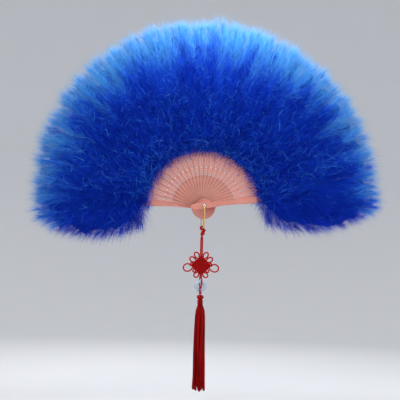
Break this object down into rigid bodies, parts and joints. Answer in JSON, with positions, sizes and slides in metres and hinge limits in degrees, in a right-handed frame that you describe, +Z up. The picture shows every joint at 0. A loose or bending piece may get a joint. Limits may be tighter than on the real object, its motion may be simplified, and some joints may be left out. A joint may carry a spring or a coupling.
{
  "type": "feather fan",
  "caption": "Folding feather fan: pierced plastic sticks on one rivet, a fluffy plume on every stick, and a wire bail with a knotted cord, ring and tassel.",
  "frame": {"origin": "on the rivet's axis, at the middle of the stack of sticks, where a hand holds the fan", "axes": "+X to the right guard of the open fan, +Z up along the middle stick, -Y to the front"},
  "size_m": [0.6107, 0.0812, 0.6511],
  "materials": {
    "pink_plastic": "moulded salmon-pink plastic, satin, with pierced holes",
    "blue_feather": "dyed marabou down, ultramarine at the root and azure at the tips",
    "blue_ribbon": "thin woven ribbon hidden in the feathers",
    "bright_metal": "bright plated rivet",
    "brass_wire": "bent brass wire, polished by handling",
    "red_cord": "braided satin cord",
    "red_thread": "silky tassel thread",
    "white_ring": "milky, slightly see-through, polished"
  },
  "bodies": {
    "front_blade": {"front_guard": "pink_plastic", "plume_front": "blue_feather", "rivet": "bright_metal", "rivet_cap": "bright_metal", "linking_ribbon": "blue_ribbon"},
    "rear_blade": {"rear_guard": "pink_plastic", "plume_rear": "blue_feather"},
    "blade_01": {"stick_01": "pink_plastic", "plume_01": "blue_feather"},
    "blade_02": {"stick_02": "pink_plastic", "plume_02": "blue_feather"},
    "blade_03": {"stick_03": "pink_plastic", "plume_03": "blue_feather"},
    "blade_04": {"stick_04": "pink_plastic", "plume_04": "blue_feather"},
    "blade_05": {"stick_05": "pink_plastic", "plume_05": "blue_feather"},
    "blade_06": {"stick_06": "pink_plastic", "plume_06": "blue_feather"},
    "blade_07": {"stick_07": "pink_plastic", "plume_07": "blue_feather"},
    "blade_08": {"stick_08": "pink_plastic", "plume_08": "blue_feather"},
    "blade_09": {"stick_09": "pink_plastic", "plume_09": "blue_feather"},
    "blade_10": {"stick_10": "pink_plastic", "plume_10": "blue_feather"},
    "blade_11": {"stick_11": "pink_plastic", "plume_11": "blue_feather"},
    "blade_12": {"stick_12": "pink_plastic", "plume_12": "blue_feather"},
    "blade_13": {"stick_13": "pink_plastic", "plume_13": "blue_feather"},
    "blade_14": {"stick_14": "pink_plastic", "plume_14": "blue_feather"},
    "blade_15": {"stick_15": "pink_plastic", "plume_15": "blue_feather"},
    "blade_16": {"stick_16": "pink_plastic", "plume_16": "blue_feather"},
    "blade_17": {"stick_17": "pink_plastic", "plume_17": "blue_feather"},
    "blade_18": {"stick_18": "pink_plastic", "plume_18": "blue_feather"},
    "blade_19": {"stick_19": "pink_plastic", "plume_19": "blue_feather"},
    "blade_20": {"stick_20": "pink_plastic", "plume_20": "blue_feather"},
    "blade_21": {"stick_21": "pink_plastic", "plume_21": "blue_feather"},
    "blade_22": {"stick_22": "pink_plastic", "plume_22": "blue_feather"},
    "blade_23": {"stick_23": "pink_plastic", "plume_23": "blue_feather"},
    "bail": {"bail": "brass_wire"},
    "pendant": {"pendant_cord": "red_cord", "ring": "white_ring"},
    "tassel": {"tassel_head": "red_thread", "tassel_collar": "red_thread", "tassel_skirt": "red_thread"}
  },
  "joints": [
    {"name": "fan_fold", "type": "hinge", "parent": "front_blade", "child": "rear_blade", "pos_m": [0, 0, 0], "axis": [0, 1, 0], "range_deg": [0, 168.74], "deforming": ["plume_front", "plume_01", "plume_02", "plume_03", "plume_04", "plume_05", "plume_06", "plume_07", "plume_08", "plume_09", "plume_10", "plume_11", "plume_12", "plume_13", "plume_14", "plume_15", "plume_16", "plume_17", "plume_18", "plume_19", "plume_20", "plume_21", "plume_22", "plume_23", "plume_rear", "linking_ribbon"]},
    {"name": "fold_01", "type": "hinge", "parent": "front_blade", "child": "blade_01", "pos_m": [0, 0, 0], "axis": [0, 1, 0], "range_deg": [0, 8.11]},
    {"name": "fold_02", "type": "hinge", "parent": "front_blade", "child": "blade_02", "pos_m": [0, 0, 0], "axis": [0, 1, 0], "range_deg": [0, 15.13]},
    {"name": "fold_03", "type": "hinge", "parent": "front_blade", "child": "blade_03", "pos_m": [0, 0, 0], "axis": [0, 1, 0], "range_deg": [0, 22.15]},
    {"name": "fold_04", "type": "hinge", "parent": "front_blade", "child": "blade_04", "pos_m": [0, 0, 0], "axis": [0, 1, 0], "range_deg": [0, 29.17]},
    {"name": "fold_05", "type": "hinge", "parent": "front_blade", "child": "blade_05", "pos_m": [0, 0, 0], "axis": [0, 1, 0], "range_deg": [0, 36.19]},
    {"name": "fold_06", "type": "hinge", "parent": "front_blade", "child": "blade_06", "pos_m": [0, 0, 0], "axis": [0, 1, 0], "range_deg": [0, 43.21]},
    {"name": "fold_07", "type": "hinge", "parent": "front_blade", "child": "blade_07", "pos_m": [0, 0, 0], "axis": [0, 1, 0], "range_deg": [0, 50.23]},
    {"name": "fold_08", "type": "hinge", "parent": "front_blade", "child": "blade_08", "pos_m": [0, 0, 0], "axis": [0, 1, 0], "range_deg": [0, 57.25]},
    {"name": "fold_09", "type": "hinge", "parent": "front_blade", "child": "blade_09", "pos_m": [0, 0, 0], "axis": [0, 1, 0], "range_deg": [0, 64.27]},
    {"name": "fold_10", "type": "hinge", "parent": "front_blade", "child": "blade_10", "pos_m": [0, 0, 0], "axis": [0, 1, 0], "range_deg": [0, 71.29]},
    {"name": "fold_11", "type": "hinge", "parent": "front_blade", "child": "blade_11", "pos_m": [0, 0, 0], "axis": [0, 1, 0], "range_deg": [0, 78.31]},
    {"name": "fold_12", "type": "hinge", "parent": "front_blade", "child": "blade_12", "pos_m": [0, 0, 0], "axis": [0, 1, 0], "range_deg": [0, 85.33]},
    {"name": "fold_13", "type": "hinge", "parent": "front_blade", "child": "blade_13", "pos_m": [0, 0, 0], "axis": [0, 1, 0], "range_deg": [0, 92.35]},
    {"name": "fold_14", "type": "hinge", "parent": "front_blade", "child": "blade_14", "pos_m": [0, 0, 0], "axis": [0, 1, 0], "range_deg": [0, 99.37]},
    {"name": "fold_15", "type": "hinge", "parent": "front_blade", "child": "blade_15", "pos_m": [0, 0, 0], "axis": [0, 1, 0], "range_deg": [0, 106.39]},
    {"name": "fold_16", "type": "hinge", "parent": "front_blade", "child": "blade_16", "pos_m": [0, 0, 0], "axis": [0, 1, 0], "range_deg": [0, 113.41]},
    {"name": "fold_17", "type": "hinge", "parent": "front_blade", "child": "blade_17", "pos_m": [0, 0, 0], "axis": [0, 1, 0], "range_deg": [0, 120.43]},
    {"name": "fold_18", "type": "hinge", "parent": "front_blade", "child": "blade_18", "pos_m": [0, 0, 0], "axis": [0, 1, 0], "range_deg": [0, 127.45]},
    {"name": "fold_19", "type": "hinge", "parent": "front_blade", "child": "blade_19", "pos_m": [0, 0, 0], "axis": [0, 1, 0], "range_deg": [0, 134.47]},
    {"name": "fold_20", "type": "hinge", "parent": "front_blade", "child": "blade_20", "pos_m": [0, 0, 0], "axis": [0, 1, 0], "range_deg": [0, 141.49]},
    {"name": "fold_21", "type": "hinge", "parent": "front_blade", "child": "blade_21", "pos_m": [0, 0, 0], "axis": [0, 1, 0], "range_deg": [0, 148.51]},
    {"name": "fold_22", "type": "hinge", "parent": "front_blade", "child": "blade_22", "pos_m": [0, 0, 0], "axis": [0, 1, 0], "range_deg": [0, 155.53]},
    {"name": "fold_23", "type": "hinge", "parent": "front_blade", "child": "blade_23", "pos_m": [0, 0, 0], "axis": [0, 1, 0], "range_deg": [0, 162.55]},
    {"name": "bail_swing", "type": "hinge", "parent": "front_blade", "child": "bail", "pos_m": [0, 0, 0], "axis": [0, 1, 0], "range_deg": [-35, 35]},
    {"name": "pendant_swing", "type": "hinge", "parent": "bail", "child": "pendant", "pos_m": [0, 0.0055, -0.038], "axis": [0, 1, 0], "range_deg": [-15, 15]},
    {"name": "tassel_swing", "type": "hinge", "parent": "pendant", "child": "tassel", "pos_m": [0, 0.0055, -0.1534], "axis": [1, 0, 0], "range_deg": [-20, 20]}
  ],
  "couplings": [
    {"joint": "fold_01", "follows": "fan_fold", "ratio": 0.048003},
    {"joint": "fold_02", "follows": "fan_fold", "ratio": 0.089605},
    {"joint": "fold_03", "follows": "fan_fold", "ratio": 0.13121},
    {"joint": "fold_04", "follows": "fan_fold", "ratio": 0.17281},
    {"joint": "fold_05", "follows": "fan_fold", "ratio": 0.21441},
    {"joint": "fold_06", "follows": "fan_fold", "ratio": 0.25601},
    {"joint": "fold_07", "follows": "fan_fold", "ratio": 0.29762},
    {"joint": "fold_08", "follows": "fan_fold", "ratio": 0.33922},
    {"joint": "fold_09", "follows": "fan_fold", "ratio": 0.38082},
    {"joint": "fold_10", "follows": "fan_fold", "ratio": 0.42242},
    {"joint": "fold_11", "follows": "fan_fold", "ratio": 0.46403},
    {"joint": "fold_12", "follows": "fan_fold", "ratio": 0.50563},
    {"joint": "fold_13", "follows": "fan_fold", "ratio": 0.54723},
    {"joint": "fold_14", "follows": "fan_fold", "ratio": 0.58883},
    {"joint": "fold_15", "follows": "fan_fold", "ratio": 0.63044},
    {"joint": "fold_16", "follows": "fan_fold", "ratio": 0.67204},
    {"joint": "fold_17", "follows": "fan_fold", "ratio": 0.71364},
    {"joint": "fold_18", "follows": "fan_fold", "ratio": 0.75525},
    {"joint": "fold_19", "follows": "fan_fold", "ratio": 0.79685},
    {"joint": "fold_20", "follows": "fan_fold", "ratio": 0.83845},
    {"joint": "fold_21", "follows": "fan_fold", "ratio": 0.88005},
    {"joint": "fold_22", "follows": "fan_fold", "ratio": 0.92166},
    {"joint": "fold_23", "follows": "fan_fold", "ratio": 0.96326}
  ]
}
